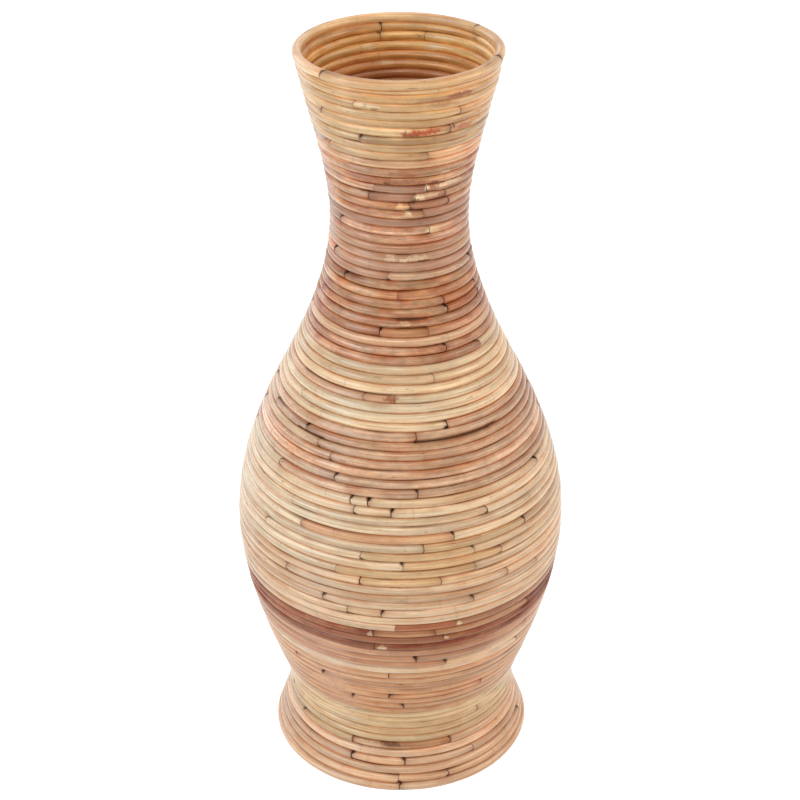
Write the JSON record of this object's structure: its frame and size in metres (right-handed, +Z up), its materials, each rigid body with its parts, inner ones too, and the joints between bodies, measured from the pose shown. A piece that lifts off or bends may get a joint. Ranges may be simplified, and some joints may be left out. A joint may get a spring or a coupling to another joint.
{
  "type": "rattan vase",
  "caption": "Tall floor vase of coiled round rattan cane, with a flared foot, a full belly, a slim neck and a flared open mouth.",
  "frame": {"origin": "on the floor, under the middle of the foot", "axes": "+Z up along the vase's axis, -Y towards the viewer's side of the picture"},
  "size_m": [0.296, 0.296, 0.6799],
  "materials": {
    "pink_tan": "smooth peeled cane, pinkish tan, satin",
    "olive_straw": "smooth cane, olive straw, satin",
    "rose_tan": "smooth cane, rose tan, satin",
    "red_brown": "smooth cane, dark reddish brown, satin",
    "cream_straw": "smooth cane, pale cream straw, satin",
    "terracotta": "smooth cane, terracotta brown, satin",
    "pale_straw": "smooth cane, pale straw, satin",
    "dusty_brown": "smooth cane, dusty pinkish brown with pale flecks, satin",
    "golden_tan": "smooth cane, golden tan, satin",
    "plywood": "bare plywood, matt"
  },
  "bodies": {
    "root": {"base_hoop": "pink_tan", "base_panel": "plywood", "belly_cane_01": "cream_straw", "belly_cane_02": "cream_straw", "belly_cane_03": "cream_straw", "belly_cane_04": "cream_straw", "belly_cane_05": "cream_straw", "belly_cane_06": "cream_straw", "belly_cane_07": "cream_straw", "belly_cane_08": "cream_straw", "belly_cane_09": "cream_straw", "bowl_cane_01": "rose_tan", "bowl_cane_02": "rose_tan", "bowl_cane_03": "rose_tan", "bowl_cane_04": "rose_tan", "bowl_cane_05": "rose_tan", "bowl_cane_06": "rose_tan", "bowl_cane_07": "rose_tan", "dark_band_cane_01": "red_brown", "dark_band_cane_02": "red_brown", "foot_cane_01": "pink_tan", "foot_cane_02": "pink_tan", "foot_cane_03": "pink_tan", "foot_cane_04": "pink_tan", "foot_ring_cane_1": "pink_tan", "foot_ring_cane_2": "pink_tan", "mouth_cane_01": "golden_tan", "mouth_cane_02": "golden_tan", "mouth_cane_03": "golden_tan", "mouth_cane_04": "golden_tan", "mouth_cane_05": "golden_tan", "mouth_cane_06": "golden_tan", "mouth_rim_cane_1": "golden_tan", "mouth_rim_cane_2": "golden_tan", "mouth_rim_cane_3": "golden_tan", "neck_cane_01": "dusty_brown", "neck_cane_02": "dusty_brown", "neck_cane_03": "dusty_brown", "neck_cane_04": "dusty_brown", "neck_cane_05": "dusty_brown", "neck_cane_06": "dusty_brown", "neck_cane_07": "dusty_brown", "neck_cane_08": "dusty_brown", "neck_cane_09": "dusty_brown", "neck_cane_10": "dusty_brown", "neck_cane_11": "dusty_brown", "neck_cane_12": "dusty_brown", "shoulder_cane_01": "pale_straw", "shoulder_cane_02": "pale_straw", "shoulder_cane_03": "pale_straw", "shoulder_cane_04": "pale_straw", "upper_band_cane_01": "terracotta", "upper_band_cane_02": "terracotta", "upper_band_cane_03": "terracotta", "upper_band_cane_04": "terracotta", "waist_cane_01": "olive_straw", "waist_cane_02": "olive_straw", "waist_cane_03": "olive_straw"}
  },
  "joints": []
}
